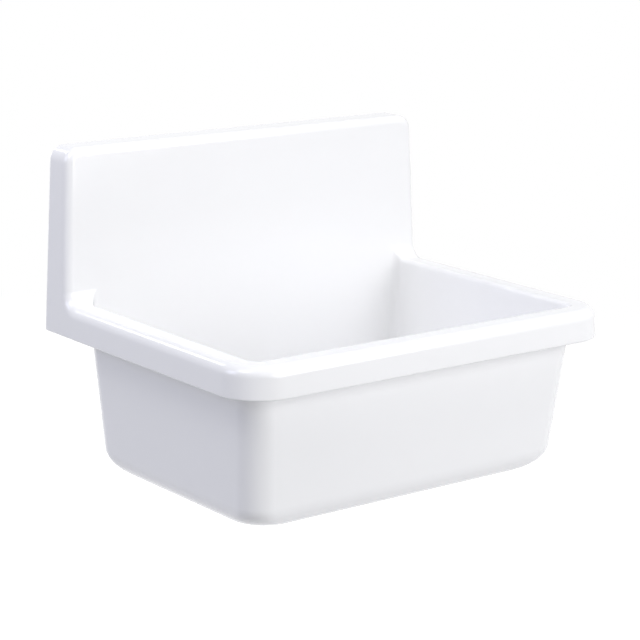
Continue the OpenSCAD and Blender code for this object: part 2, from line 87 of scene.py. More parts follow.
class CastingSizes(bpy.types.PropertyGroup):
    """Sizes of the fireclay casting."""
    width: length("Width", "Width over the apron's lower edge", 610)
    depth: length("Depth", "Depth from the wall to the apron's lower edge", 458)
    basin_height: length("Basin height", "From the underside to the rim's top", 231)
    back_height: length("Splashback height", "Height above the rim's top", 208)
    apron_height: length("Apron height", "Height of the apron below the rim's top", 41.5)
    draft: angle("Draft", "Lean of the apron and of the splashback's ends", 2.6)
    rim_width: length("Rim width", "From the apron's face to the basin's wall", 38)
    rim_edge: length("Rim edge", "Radius of the rim's outer top edge", 14.5)
    inner_edge: length("Inner edge", "Radius of the rim's inner edge", 7)
    front_corner: length("Front corner", "Plan radius of the rim's front corners", 57.5)
    back_thickness: length("Splashback thickness", "Thickness at the rim's level", 50)
    back_lean: angle("Splashback lean", "Lean of the splashback's face", 2.1)
    back_edge: length("Splashback edge", "Radius of the splashback's front edges", 11.5)
    back_corner: length("Splashback corner", "Radius of the two top corners", 21)
    cove: length("Cove", "Radius of the hollow where the rim meets the splashback", 20)
    wall: length("Wall", "Level thickness of the basin's walls", 11)
    floor: length("Floor", "Thickness of the floor at the outlet", 20)
    fall: length("Fall", "Fall of the floor from its edges to the outlet", 5)
    side_taper: angle("Side taper", "Lean of the basin's side walls", 4.7)
    front_taper: angle("Front taper", "Lean of the basin's front wall", 5.7)
    back_taper: angle("Back taper", "Lean of the basin's back wall", 3.9)
    inside_corner: length("Inside corner", "Plan radius of the corners inside, at the rim", 12)
    floor_corner: length("Floor corner", "Plan radius of those corners at the floor", 26)
    outside_corner: length("Outside corner", "Plan radius of the corners under the apron", 35)
    base_corner: length("Base corner", "Plan radius of those corners at the underside", 55)
    floor_edge: length("Floor edge", "Radius between walls and floor inside", 25)
    base_edge: length("Base edge", "Radius between walls and underside outside", 34)
    rear_edge: length("Rear edge", "Radius of the apron's lower edge at the wall", 7)
    lower_edge: length("Lower edge", "Radius of the apron's lower edge elsewhere", 2.8)
    outlet_hole: length("Outlet hole", "Diameter of the hole in the floor", 91)
    outlet_seat: length("Outlet seat", "Diameter of the seat of the outlet's flange", 117)
    seat_depth: length("Seat depth", "Depth of that seat below the floor", 3.8)


class HangerSizes(bpy.types.PropertyGroup):
    """Sizes of the wall hanger with its screws and washers, and of the recess it sits in."""
    seat: length("Seat", "Height of the casting's seat over the rim's top", 128)
    recess_width: length("Recess width", "Width of the recess", 470)
    recess_drop: length("Recess drop", "Height of the recess below the seat", 96)
    recess_rise: length("Recess rise", "Height of the recess above the seat", 32)
    recess_depth: length("Recess depth", "Depth of the recess", 26)
    lip: length("Lip", "Thickness of the lip that sits in the hooks", 14.5)
    recess_corner: length("Recess corner", "Radius of the recess's corners", 8)
    width: length("Hanger width", "Width of the hanger", 450)
    height: length("Hanger height", "Height of the hanger below its top face", 64)
    steel: length("Hanger steel", "Thickness of the hanger's steel", 4)
    bend: length("Bend", "Inside radius of the hanger's bends", 3)
    hook_gap: length("Hook gap", "Gap between the lip and the hooks", 0.5)
    hook_rise: length("Hook rise", "Height of the hooks above the hanger's top face", 18)
    hook_length: length("Hook length", "Length of each hook along the wall", 120)
    screw: length("Screw", "Diameter of the wall screws", 8)
    screw_reach: length("Screw reach", "Length of the screws behind the wall's face", 60)
    screw_pitch: length("Screw pitch", "Pitch of the screws' thread", 3)
    screw_plain: length("Plain shank", "Length of the shank without thread", 14)
    head: length("Head", "Width across the flats of the screw heads", 13)
    head_height: length("Head height", "Height of the screw heads", 5.5)
    washer: length("Washer", "Diameter of the washers", 20)
    washer_steel: length("Washer steel", "Thickness of the washers", 1.6)
    hole: length("Hole", "Diameter of the holes for the screws", 8.8)


class OutletSizes(bpy.types.PropertyGroup):
    """Sizes of the outlet cup, its seals and its locknut."""
    barrel: length("Barrel", "Diameter over the barrel's thread", 88.4)
    flange: length("Flange", "Diameter of the flange", 114)
    flange_thickness: length("Flange thickness", "Thickness of the flange", 2.4)
    cup_depth: length("Cup depth", "Depth of the cup below its flange", 46)
    cup_wall: length("Cup wall", "Thickness of the cup's wall", 3.2)
    ledge: length("Ledge", "Width of the ledge under the strainer grid", 3)
    ledge_depth: length("Ledge depth", "Depth of that ledge below the flange", 6)
    outlet: length("Outlet", "Diameter over the outlet's thread", 47.8)
    bore: length("Bore", "Bore of the outlet", 39)
    barrel_pitch: length("Barrel pitch", "Pitch of the barrel's thread", 3)
    outlet_pitch: length("Outlet pitch", "Pitch of the outlet's thread", 2.2)
    ring_bore: length("Ring bore", "Bore of the rings round the barrel", 89.4)
    locknut_ring: length("Locknut ring", "Diameter of the locknut without its lugs", 110)
    locknut_bore: length("Locknut bore", "Bore of the locknut", 89.2)
    lug_height: length("Lug height", "Height of the locknut's lugs over its ring", 6)
    lug_width: length("Lug width", "Width of each lug", 16)


class StrainerSizes(bpy.types.PropertyGroup):
    """Sizes of the strainer grid and its lift knob."""
    grid: length("Grid", "Diameter of the grid", 81.4)
    sheet: length("Sheet", "Thickness of the grid", 1.5)
    brim: length("Brim", "Height of the grid's raised edge", 3.5)
    hole: length("Hole", "Diameter of the grid's holes", 5)
    pitch: length("Pitch", "Distance from one ring of holes to the next", 8.6)
    stem_hole: length("Stem hole", "Diameter of the hole for the knob's stem", 5.8)
    knob: length("Knob", "Diameter of the knob's head", 17)
    knob_height: length("Knob height", "Height of the knob over the grid", 15)
    stem: length("Stem", "Diameter of the knob's stem", 5)
    nut: length("Nut", "Width of the nut across its flats", 8)


class SinkFinishes(bpy.types.PropertyGroup):
    """Colours and gloss of the sink's materials."""
    glaze: colour("Glaze", "Colour of the glaze", (0.955, 0.955, 0.955))
    bisque: colour("Bisque", "Colour of the unglazed clay at the back", (0.78, 0.72, 0.63))
    glaze_roughness: factor("Glaze roughness", "Roughness of the glaze", 0.16)
    steel: colour("Steel", "Colour of the stainless steel", (0.6, 0.61, 0.62))
    zinc: colour("Zinc", "Colour of zinc plate and galvanising", (0.62, 0.64, 0.66))
    cast: colour("Cast zinc", "Colour of the cast locknut", (0.58, 0.59, 0.6))
    rubber: colour("Rubber", "Colour of the gaskets", (0.035, 0.035, 0.038))
    fibre: colour("Fibre", "Colour of the friction ring", (0.6, 0.47, 0.31))


class StageSettings(bpy.types.PropertyGroup):
    """Floor, light and camera."""
    floor_drop: length("Floor drop", "Level of the floor below the rim's top", 760)
    floor_radius: length("Floor radius", "Radius of the round floor", 8000)
    floor_colour: colour("Floor colour", "Colour of the floor", (0.48, 0.48, 0.48))
    floor_glow: factor("Floor glow", "Level added to the floor where it is seen", 0.78, 2)
    front: factor("Front", "Power of the large lamp in front, in watts", 66, 1000)
    overhead: factor("Overhead", "Power of the large lamp overhead, in watts", 22, 1000)
    high_left: factor("High left", "Power of the high lamp on the left, in watts", 20, 1000)
    left: factor("Left", "Power of the low cool lamp on the left, in watts", 24, 1000)
    right: factor("Right", "Power of the small high lamp on the right, in watts", 4, 1000)
    rear: factor("Rear", "Power of the small high lamp behind, in watts", 5, 1000)
    back: factor("Back", "Power of the large low lamp behind, in watts", 22, 1000)
    warm: colour("Lamp colour", "Colour of the lamps", (0.982, 0.984, 1.0))
    cool: colour("Cool lamp colour", "Colour of the low lamp on the left", (0.75, 0.77, 1.0))
    world: factor("World", "Level of the light from all round", 0.24, 5)
    shade: colour("Shade", "Colour of the light from all round", (0.93, 0.94, 1.0))
    backdrop: factor("Backdrop", "Level of the white behind the object", 1, 2)
    lens: bpy.props.FloatProperty(
        name="Lens", description="Focal length on a 36 mm sensor", default=123.472,
        min=1, unit="CAMERA")


# ---- Modelling helpers -------------------------------------------------------------------

# A quarter and a sixth of a full turn, in radians.
QUARTER = math.pi / 2
SIXTH = math.pi / 3
HOLE_SIDES = 32
# Fall of the chamfer on a nut or a screw head, over its run.
CHAMFER = math.tan(math.radians(30))


def select_nothing():
    """Leaves edit mode and deselects every object."""
    if bpy.context.object and bpy.context.object.mode != "OBJECT":
        bpy.ops.object.mode_set(mode="OBJECT")
    bpy.ops.object.select_all(action="DESELECT")


def apply_modifier(piece, kind, **settings):
    """Adds one modifier to the piece, with its settings, and applies it."""
    bpy.context.view_layer.objects.active = piece
    modifier = piece.modifiers.new(kind.title(), kind)
    for name, value in settings.items():
        setattr(modifier, name, value)
    bpy.ops.object.modifier_apply(modifier=modifier.name)


def merge_close(near):
    """In edit mode, merges all points that lie this near to each other, and removes the faces
    that are left without any width."""
    bpy.ops.mesh.select_all(action="SELECT")
    bpy.ops.mesh.remove_doubles(threshold=near)
    bpy.ops.mesh.dissolve_degenerate(threshold=near / 2)
    bpy.ops.mesh.select_all(action="SELECT")


def shape_rings(name, rings, open_ring=False):
    """Models a skin as by hand: a circle is extruded ring by ring, and each new ring's points
    are moved to their places. What stays open at the end is filled. An open ring is a line of
    points, whose two ends aren't joined."""
    select_nothing()
    bpy.ops.mesh.primitive_circle_add(vertices=len(rings[0]), radius=1, location=(0, 0, 0))
    piece = bpy.context.object
    piece.name = piece.data.name = name
    bpy.ops.object.mode_set(mode="EDIT")
    mesh = bmesh.from_edit_mesh(piece.data)
    place = mesh.verts.layers.int.new("place")
    for vertex in mesh.verts:
        vertex[place] = vertex.index
    if open_ring:
        ends = {0, len(rings[0]) - 1}
        bmesh.ops.delete(mesh, context="EDGES", geom=[
            edge for edge in mesh.edges if {vertex[place] for vertex in edge.verts} == ends])
    for number, ring in enumerate(rings):
        if number:
            bpy.ops.mesh.extrude_edges_move()
            mesh = bmesh.from_edit_mesh(piece.data)
            place = mesh.verts.layers.int["place"]
        mesh.verts.ensure_lookup_table()
        for vertex in mesh.verts[-len(ring):]:
            vertex.co = ring[vertex[place]]
        bmesh.update_edit_mesh(piece.data)
    mesh.verts.layers.int.remove(place)
    merge_close(0.01 * MM)
    bpy.ops.mesh.fill_holes(sides=0)
    bpy.ops.mesh.select_all(action="SELECT")
    bpy.ops.mesh.normals_make_consistent(inside=False)
    bpy.ops.object.mode_set(mode="OBJECT")
    return piece


def eased(*corners, steps=4):
    """A flat outline through corners of (x, z, fillet), with those corners rounded."""
    outline = []
    for i, (x, z, fillet) in enumerate(corners):
        corner = Vector((x, z))
        if not fillet:
            outline.append(corner)
            continue
        before = (Vector(corners[i - 1][:2]) - corner).normalized()
        after = (Vector(corners[(i + 1) % len(corners)][:2]) - corner).normalized()
        half = before.angle(after) / 2
        centre = corner + (before + after).normalized() * fillet / math.sin(half)
        start = corner + before * fillet / math.tan(half) - centre
        end = corner + after * fillet / math.tan(half) - centre
        outline += [centre + fillet * start.slerp(end, i / steps) for i in range(steps + 1)]
    return outline


def thread(share, crest, depth, pitch, low, high):
    """The outline of a screw thread at one share of a turn, from low to high. It climbs by
    one pitch in a turn and runs out at both ends."""
    form = (0, 0, 0.5, 1, 1, 0.5)
    rows = round((high - low) / pitch * len(form))
    outline = []
    for row in range(-len(form), rows + 1):
        z = min(max(low + pitch * (row / len(form) + share), low), high)
        fade = min(1, (z - low) / pitch, (high - z) / pitch)
        outline.append(Vector((crest - depth * form[row % len(form)] * fade, z)))
    return outline


def turned(name, steps, outline, axis, wall=False, open_ring=False):
    """Turns an outline of (radius, height) points round an upright axis, or round one that
    stands on the wall. The outline is given by a function of the share of the turn."""
    rings = []
    for step in range(steps + 1):
        a = 2 * math.pi * step / steps
        ring = []
        for radius, height in outline(step / steps):
            across, along = radius * math.sin(a), radius * math.cos(a)
            flat = Vector((across, -height, along)) if wall else Vector((across, along, height))
            ring.append(axis + flat)
        rings.append(ring)
    return shape_rings(name, rings, open_ring)


def hexagon(share, flats):
    """Distance of a hexagon's side from its centre at one share of a turn."""
    return flats / 2 / math.cos((2 * math.pi * share + SIXTH / 2) % SIXTH - SIXTH / 2)


def cut(piece, cutter):
    """Cuts the second piece's shape out of the first."""
    apply_modifier(piece, "BOOLEAN", operation="DIFFERENCE", object=cutter, solver="EXACT")
    bpy.data.objects.remove(cutter)


def drill(piece, places, diameter, depth, turn=(0, 0, 0)):
    """Drills holes of one diameter through the piece, centred at these places."""
    select_nothing()
    drills = []
    for place in places:
        bpy.ops.mesh.primitive_cylinder_add(vertices=HOLE_SIDES, radius=diameter / 2,
                                            depth=depth, location=place, rotation=turn)
        drills.append(bpy.context.object)
    for item in drills:
        item.select_set(True)
    if len(drills) > 1:
        bpy.ops.object.join()
    cut(piece, bpy.context.object)


def break_edges(piece, width, degrees, segments=2):
    """Rounds the piece's edges that are sharper than this many degrees."""
    apply_modifier(piece, "BEVEL", width=width, segments=segments, limit_method="ANGLE",
                   angle_limit=math.radians(degrees), use_clamp_overlap=True)


def clean_cuts(piece, width):
    """Merges the points that cuts have left close together, and rounds the sharp edges."""
    select_nothing()
    bpy.context.view_layer.objects.active = piece
    bpy.ops.object.mode_set(mode="EDIT")
    merge_close(0.02 * MM)
    bpy.ops.object.mode_set(mode="OBJECT")
    break_edges(piece, width, 60)


def copy_to(piece, name, shift):
    """A copy of the piece with its own mesh, moved by shift."""
    twin = bpy.data.objects.new(name, piece.data.copy())
    bpy.context.scene.collection.objects.link(twin)
    twin.data.name = name
    twin.data.transform(Matrix.Translation(shift))
    return twin


def weigh_edges(piece, chosen):
    """Gives each edge a bevel weight, from a function of its two ends."""
    weights = piece.data.attributes.new("bevel_weight_edge", "FLOAT", "EDGE")
    points = piece.data.vertices
    for edge in piece.data.edges:
        a, b = (points[i].co for i in edge.vertices)
        weights.data[edge.index].value = chosen(a, b)


def smooth(piece, degrees):
    """Smooth shading, broken at edges sharper than this, with flat faces kept flat."""
    select_nothing()
    piece.select_set(True)
    bpy.context.view_layer.objects.active = piece
    bpy.ops.object.shade_smooth_by_angle(angle=math.radians(degrees))
    apply_modifier(piece, "WEIGHTED_NORMAL", mode="FACE_AREA", weight=50, keep_sharp=True)


def settle(piece, material, body, slot, *nodes):
    """Gives a finished piece its material and its body, and hides the nodes it stands for. The
    slot is not used.
    """
    piece.data.materials.clear()
    piece.data.materials.append(material)
    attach(piece, body)
    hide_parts(*nodes)


def complete(piece, material, body, slot, node, degrees=35):
    """Smooths a modelled piece and settles it."""
    smooth(piece, degrees)
    settle(piece, material, body, slot, node)


# ---- Material helpers --------------------------------------------------------------------

class Wave:
    """One value in a node tree. Expressions on it add the Math nodes they need."""

    def __init__(self, nodes, socket):
        self.nodes = nodes
        self.socket = socket

    def maths(self, operation, *values):
        return self.nodes.add("Math", dict(enumerate(values)), operation=operation)

    def __add__(self, other):
        return self.maths("ADD", self, other)

    def __sub__(self, other):
        return self.maths("SUBTRACT", self, other)

    def __rsub__(self, other):
        return self.maths("SUBTRACT", other, self)

    def __mul__(self, other):
        return self.maths("MULTIPLY", self, other)

    def __truediv__(self, other):
        return self.maths("DIVIDE", self, other)

    def __rtruediv__(self, other):
        return self.maths("DIVIDE", other, self)

    __radd__ = __add__
    __rmul__ = __mul__


class Nodes:
    """The node tree of a material or of the world, emptied at the start."""

    def __init__(self, owner):
        owner.use_nodes = True
        self.tree = owner.node_tree
        self.tree.nodes.clear()

    def connect(self, target, value):
        """Links a value of the tree to a socket, or writes a plain one on it."""
        if isinstance(value, Wave):
            self.tree.links.new(value.socket, target)
        elif hasattr(value, "__len__") and len(value) == 3 and target.type == "RGBA":
            target.default_value = (*value, 1)
        else:
            target.default_value = value

    def add(self, kind, values=None, result=0, stops=(), **settings):
        """Adds a node of that kind. Its settings and the places of a ramp's stops are set
        first, and then the values or links of its sockets."""
        node = self.tree.nodes.new("ShaderNode" + kind)
        for name, value in settings.items():
            setattr(node, name, value)
        for number, place in enumerate(stops):
            node.color_ramp.elements[number].position = place
        for name, value in (values or {}).items():
            self.connect(node.inputs[name], value)
        return Wave(self, node.outputs[result])

    def seen(self):
        """1 for rays from the camera, and for those that gloss or glass sends on."""
        rays = [self.add("LightPath", result=f"Is {kind} Ray")
                for kind in ("Camera", "Glossy", "Transmission")]
        return sum(rays[1:], rays[0])

    def mix(self, mask, first, second):
        """The first shader where the mask is 0, the second where it is 1."""
        return self.add("MixShader", {0: mask, 1: first, 2: second})

    def end(self, kind, shader):
        """Ends the tree with this shader."""
        output = self.tree.nodes.new("ShaderNodeOutput" + kind)
        self.tree.links.new(shader.socket, output.inputs["Surface"])


class Finish(Nodes):
    """A procedural material, built round one Principled shader, which ends its tree unless
    other shaders are to be mixed with it."""

    def __init__(self, name, constants=None, alone=True):
        self.material = bpy.data.materials.new(name)
        super().__init__(self.material)
        self.shader = self.tree.nodes.new("ShaderNodeBsdfPrincipled")
        for socket, value in (constants or {}).items():
            self.connect(self.shader.inputs[socket], value)
        if alone:
            self.end("Material", Wave(self, self.shader.outputs[0]))

    def place(self, scale=(1, 1, 1), start=(0, 0, 0)):
        """The point on the object, moved and scaled."""
        point = self.add("TexCoord", result="Object")
        return self.add("Mapping", {"Vector": point, "Location": start, "Scale": scale})

    def noise(self, scale, detail=2, point=None):
        """Cloudy noise, from 0 to 1."""
        return self.add("TexNoise", {"Vector": point or self.place(), "Scale": scale,
                                     "Detail": detail})

    def ramp(self, value, low, high):
        """0 up to the low value, 1 from the high one, and a straight rise between them."""
        return self.add("ValToRGB", {"Fac": value}, stops=(low, high))

    def blend(self, mask, first, second):
        """The first colour where the mask is 0, the second where it is 1."""
        return self.add("Mix", {0: mask, 6: first, 7: second}, result=2, data_type="RGBA")

    def bump(self, height, distance, under=None):
        """Relief, with the distance in metres that a height of 1 stands for."""
        values = {"Height": height, "Distance": distance}
        if under is not None:
            values["Normal"] = under
        return self.add("Bump", values)

    def feed(self, base_color, roughness, normal, coat_weight=None):
        """Feeds the shader's own sockets and returns the material."""
        self.connect(self.shader.inputs["Base Color"], base_color)
        self.connect(self.shader.inputs["Roughness"], roughness)
        self.connect(self.shader.inputs["Normal"], normal)
        if coat_weight is not None:
            self.connect(self.shader.inputs["Coat Weight"], coat_weight)
        return self.material


# ---- Materials ---------------------------------------------------------------------------

# The band behind the glaze's edge in which it thins out.
BARE_EDGE = 1.2 * MM


def glazed_fireclay(colours):
    """White glaze with a soft wave and a fine orange peel, and bare clay where it meets the
    wall.
    The border between them wanders by the width of the bare edge."""
    finish = Finish("white_glaze", {"IOR": 1.5, "Coat Roughness": 0.1})
    point = finish.place()
    depth = finish.add("SeparateXYZ", {"Vector": point}, result="Y")
    edge = depth + finish.noise(60, 2, point) * BARE_EDGE
    bare = finish.ramp((edge + BARE_EDGE) / (2 * BARE_EDGE), 0.2, 0.75)
    wave = finish.noise(7, 1, point)
    peel = finish.noise(160, 2, point)
    grain = finish.noise(900, 3, point)
    tone = finish.blend(finish.noise(5, 2, point), colours.glaze,
                        [c * 0.985 for c in colours.glaze])
    clay = finish.blend(grain, colours.bisque, [c * 0.8 for c in colours.bisque])
    gloss = finish.bump(peel, 0.012 * MM, under=finish.bump(wave, 0.9 * MM))
    rough = finish.bump(grain * bare, 0.25 * MM, under=gloss)
    return finish.feed(
        base_color=finish.blend(bare, tone, clay),
        roughness=colours.glaze_roughness + bare * 0.75,
        coat_weight=(1 - bare) * 0.25,
        normal=rough)


def turned_steel(name, colours, roughness, centre):
    """Steel with fine turning marks round the outlet's axis."""
    finish = Finish(name, {"Metallic": 1})
    point = finish.place(start=(-centre[0], -centre[1], 0))
    marks = finish.add("TexWave", {"Vector": point, "Scale": 900, "Distortion": 1.5,
                                   "Detail": 2, "Detail Scale": 3},
                       wave_type="RINGS", rings_direction="Z")
    smear = finish.noise(70, 3, point)
    return finish.feed(
        base_color=finish.blend(smear, colours.steel, [c * 0.9 for c in colours.steel]),
        roughness=roughness + smear * 0.1,
        normal=finish.bump(marks, 0.006 * MM))


def black_rubber(colours):
    """Moulded rubber with a dull bloom."""
    finish = Finish("black_rubber", {"IOR": 1.5})
    bloom = finish.noise(90, 3)
    return finish.feed(
        base_color=finish.blend(bloom, colours.rubber, [c * 2.2 for c in colours.rubber]),
        roughness=0.55 + bloom * 0.25,
        normal=finish.bump(finish.noise(1400, 2), 0.03 * MM))


def pressed_fibre(colours):
    """Pressed fibre with short pale and dark hairs."""
    finish = Finish("fibre")
    hairs = finish.noise(700, 4, finish.place(scale=(1, 0.25, 1)))
    return finish.feed(
        base_color=finish.blend(hairs, [c * 0.72 for c in colours.fibre], colours.fibre),
        roughness=0.8 + hairs * 0.15,
        normal=finish.bump(hairs, 0.05 * MM))


def cast_zinc(colours):
    """Die-cast zinc with a dull, slightly pitted skin."""
    finish = Finish("cast_zinc", {"Metallic": 1})
    cloud = finish.noise(120, 4)
    pits = finish.noise(1100, 3)
    return finish.feed(
        base_color=finish.blend(cloud, [c * 0.78 for c in colours.cast], colours.cast),
        roughness=0.38 + cloud * 0.2,
        normal=finish.bump(pits, 0.05 * MM))


def galvanised(colours):
    """Hot-dip galvanising, with its spangle of flat grey crystals."""
    finish = Finish("galvanised_steel", {"Metallic": 1})
    point = finish.place()
    swirl = finish.add("TexNoise", {"Vector": point, "Scale": 60}, result="Color")
    shift = finish.add("VectorMath", {0: swirl, "Scale": 0.01}, operation="SCALE")
    warped = finish.add("VectorMath", {0: point, 1: shift}, operation="ADD")
    crystals = finish.add("TexVoronoi", {"Vector": warped, "Scale": 130}, result="Color")
    shade = finish.add("SeparateXYZ", {"Vector": crystals})
    return finish.feed(
        base_color=finish.blend(shade, [c * 0.8 for c in colours.zinc], colours.zinc),
        roughness=0.3 + shade * 0.22,
        normal=finish.bump(finish.noise(300, 3), 0.03 * MM))


def zinc_plate(colours):
    """Bright zinc plate on the screws and washers."""
    finish = Finish("zinc_plate", {"Metallic": 1})
    cloud = finish.noise(240, 3)
    return finish.feed(
        base_color=finish.blend(cloud, colours.zinc, [min(1, c * 1.18) for c in colours.zinc]),
        roughness=0.24 + cloud * 0.16,
        normal=finish.bump(finish.noise(1500, 2), 0.008 * MM))


# ---- The casting -------------------------------------------------------------------------

TOP_STEPS = 20
CORNER_STEPS = 10
POST_STEPS = 12
COVE_STEPS = 12
REAR_STEPS = 4
SIDE_STEPS = 16
TURN_STEPS = 20
FRONT_STEPS = 16
EDGE_STEPS = 8
FILLET_STEPS = 10
WALL_STEPS = 6
DISH_STEPS = 6
BACK_COUNT = TOP_STEPS + CORNER_STEPS + 1 + POST_STEPS
TURN_START = BACK_COUNT + COVE_STEPS + 1 + REAR_STEPS + SIDE_STEPS
HALF_COUNT = TURN_START + TURN_STEPS + 1 + FRONT_STEPS
# Width of the level land round the outlet: under the floor, and round the seat inside.
LAND_UNDER = 24 * MM
LAND_INSIDE = 4.5 * MM
# Depth below the rim where the basin's wall starts, over the radius of the inner edge.
WALL_START = 1.8
# Bevel of the splashback's rear outline, over the widest bevel.
REAR_SHARE = 0.25


def between(a, b, share):
    return a + (b - a) * share


def rounded(corner, first, second, radius):
    """Points of a rounded edge between two faces with these normals, that meet at corner."""
    if (first - second).length < 1e-9:
        return [corner] * (EDGE_STEPS + 1)
    centre = corner - radius * (first + second) / (1 + first.dot(second))
    return [centre + radius * first.slerp(second, i / EDGE_STEPS)
            for i in range(EDGE_STEPS + 1)]


class CastingForm:
    """The casting's skin as a stack of rings. Each half ring runs from the middle of the back
    over the left side to the middle of the front, and its right half mirrors that."""

    def __init__(self, sizes):
        self.s = sizes
        self.lean = math.tan(sizes.draft)
        self.rim_x = self.side_x(0)
        self.cove_y = -(sizes.back_thickness - math.tan(sizes.back_lean) * sizes.cove)
        self.floor_z = sizes.floor - sizes.basin_height
        self.floor_edge_z = self.floor_z + sizes.fall
        self.drain_y = (self.front_in_y(self.floor_edge_z)
                        + self.back_in_y(self.floor_edge_z)) / 2

    def side_x(self, z):
        return self.s.width / 2 - self.lean * (z + self.s.apron_height)

    def front_y(self, z):
        return -self.s.depth + self.lean * (z + self.s.apron_height)

    def back_y(self, z):
        return -(self.s.back_thickness - math.tan(self.s.back_lean) * z)

    def side_in_x(self, z):
        return self.rim_x - self.s.rim_width + math.tan(self.s.side_taper) * min(z, 0)

    def front_in_y(self, z):
        return self.front_y(0) + self.s.rim_width - math.tan(self.s.front_taper) * min(z, 0)

    def back_in_y(self, z):
        return self.cove_y + math.tan(self.s.back_taper) * min(z, 0)

    def cove_run(self, step):
        """Distance of that step of the cove from the splashback's foot."""
        return self.s.cove * (1 - math.cos(QUARTER * step / COVE_STEPS))

    def rear_angle(self, step):
        """Angle round the basin's rear corner where its wall meets that step of the cove."""
        return math.asin(max(0, 1 - self.cove_run(step) / self.s.inside_corner))

    def outer_edge(self):
        """The outer edge of top and face: (point, outer normal, facing normal, radius)."""
        s = self.s
        corner_z = s.back_height - s.back_corner
        corner_x = self.side_x(corner_z) - s.back_corner / math.cos(s.draft)
        post_top = corner_z + s.back_corner * math.sin(s.draft)
        rear_y = self.cove_y - s.cove
        turn_x = self.rim_x - s.front_corner
        turn_y = self.front_y(0) + s.front_corner
        rear_end_y = between(rear_y, turn_y, REAR_STEPS / (REAR_STEPS + SIDE_STEPS + 1))
        if s.inside_corner > s.cove:
            rear_end_y = self.cove_y - s.inside_corner
        face = Vector((0, -math.cos(s.back_lean), math.sin(s.back_lean)))
        side = Vector((-math.cos(s.draft), 0, math.sin(s.draft)))
        up = Vector((0, 0, 1))
        edge = []
        top = Vector((0, self.back_y(s.back_height), s.back_height))
        for i in range(TOP_STEPS):
            along = Vector((-corner_x * i / TOP_STEPS, 0, 0))
            edge.append((top + along, up, face, s.back_edge))
        for i in range(CORNER_STEPS + 1):
            a = between(QUARTER, s.draft, i / CORNER_STEPS)
            z = corner_z + s.back_corner * math.sin(a)
            x = -corner_x - s.back_corner * math.cos(a)
            edge.append((Vector((x, self.back_y(z), z)),
                         Vector((-math.cos(a), 0, math.sin(a))), face, s.back_edge))
        for i in range(1, POST_STEPS + 1):
            z = between(post_top, s.cove, i / (POST_STEPS + 1))
            edge.append((Vector((-self.side_x(z), self.back_y(z), z)), side, face,
                         s.back_edge))
        for i in range(COVE_STEPS + 1):
            share = i / COVE_STEPS
            a = QUARTER * (1 - share)
            z = s.cove * (1 - math.cos(a))
            y = self.cove_y - s.cove * (1 - math.sin(a))
            edge.append((Vector((-self.side_x(z), y, z)), side,
                         Vector((0, -math.sin(a), math.cos(a))),
                         between(s.back_edge, s.rim_edge, share)))
        places = [between(rear_y, rear_end_y, i / REAR_STEPS) for i in range(1, REAR_STEPS + 1)]
        places += [between(rear_end_y, turn_y, i / (SIDE_STEPS + 1))
                   for i in range(1, SIDE_STEPS + 1)]
        edge += [(Vector((-self.rim_x, y, 0)), side, up, s.rim_edge) for y in places]
        for i in range(TURN_STEPS + 1):
            a = QUARTER * i / TURN_STEPS
            out = Vector((-math.cos(a), -math.sin(a), 0))
            point = Vector((-turn_x, turn_y, 0)) + s.front_corner * out
            normal = out * math.cos(s.draft) + up * math.sin(s.draft)
            edge.append((point, normal, up, s.rim_edge))
        for i in range(1, FRONT_STEPS + 1):
            point = Vector((-turn_x * (1 - i / FRONT_STEPS), self.front_y(0), 0))
            edge.append((point, Vector((0, -math.cos(s.draft), math.sin(s.draft))), up,
                         s.rim_edge))
        return edge

    def lower_edge(self, edge):
        """Border of the outer faces: the wall line behind, the apron's lower edge elsewhere."""
        s = self.s
        low = -s.apron_height
        turn_x, turn_y = -s.width / 2 + s.front_corner, -s.depth + s.front_corner
        border = []
        for i, (point, _, _, _) in enumerate(edge):
            share = (i - BACK_COUNT) / COVE_STEPS
            turn = i - TURN_START
            a = QUARTER * turn / TURN_STEPS
            if share < 0:
                border.append(Vector((point.x, 0, point.z)))
            elif share <= 0.5:
                z = between(s.cove, low, 2 * share)
                border.append(Vector((-self.side_x(z), 0, z)))
            elif share < 1:
                y = (self.cove_y - s.cove) * (2 * share - 1)
                border.append(Vector((-s.width / 2, y, low)))
            elif turn < 0:
                border.append(Vector((-s.width / 2, point.y, low)))
            elif turn <= TURN_STEPS:
                border.append(Vector((turn_x - s.front_corner * math.cos(a),
                                      turn_y - s.front_corner * math.sin(a), low)))
            else:
                share = (turn - TURN_STEPS) / FRONT_STEPS
                border.append(Vector((turn_x * (1 - share), -s.depth, low)))
        return border

    def under_edge(self, lower):
        """Border of the apron's underside."""
        wall_count = BACK_COUNT + COVE_STEPS // 2
        return [Vector((-self.s.width / 2 * i / wall_count, 0, -self.s.apron_height))
                if i < wall_count else lower[i] for i in range(HALF_COUNT)]

    def basin_half(self, x, y_front, y_back, z, radius, angles, runs):
        """Half outline of the basin at one level. The points in line with the cove's steps lie
        at these angles round the rear corner, and at these runs past it."""
        def round_corner(a, run=0):
            return Vector((-(x - radius) - radius * math.cos(a),
                           y_back - radius + radius * math.sin(a) - run, z))

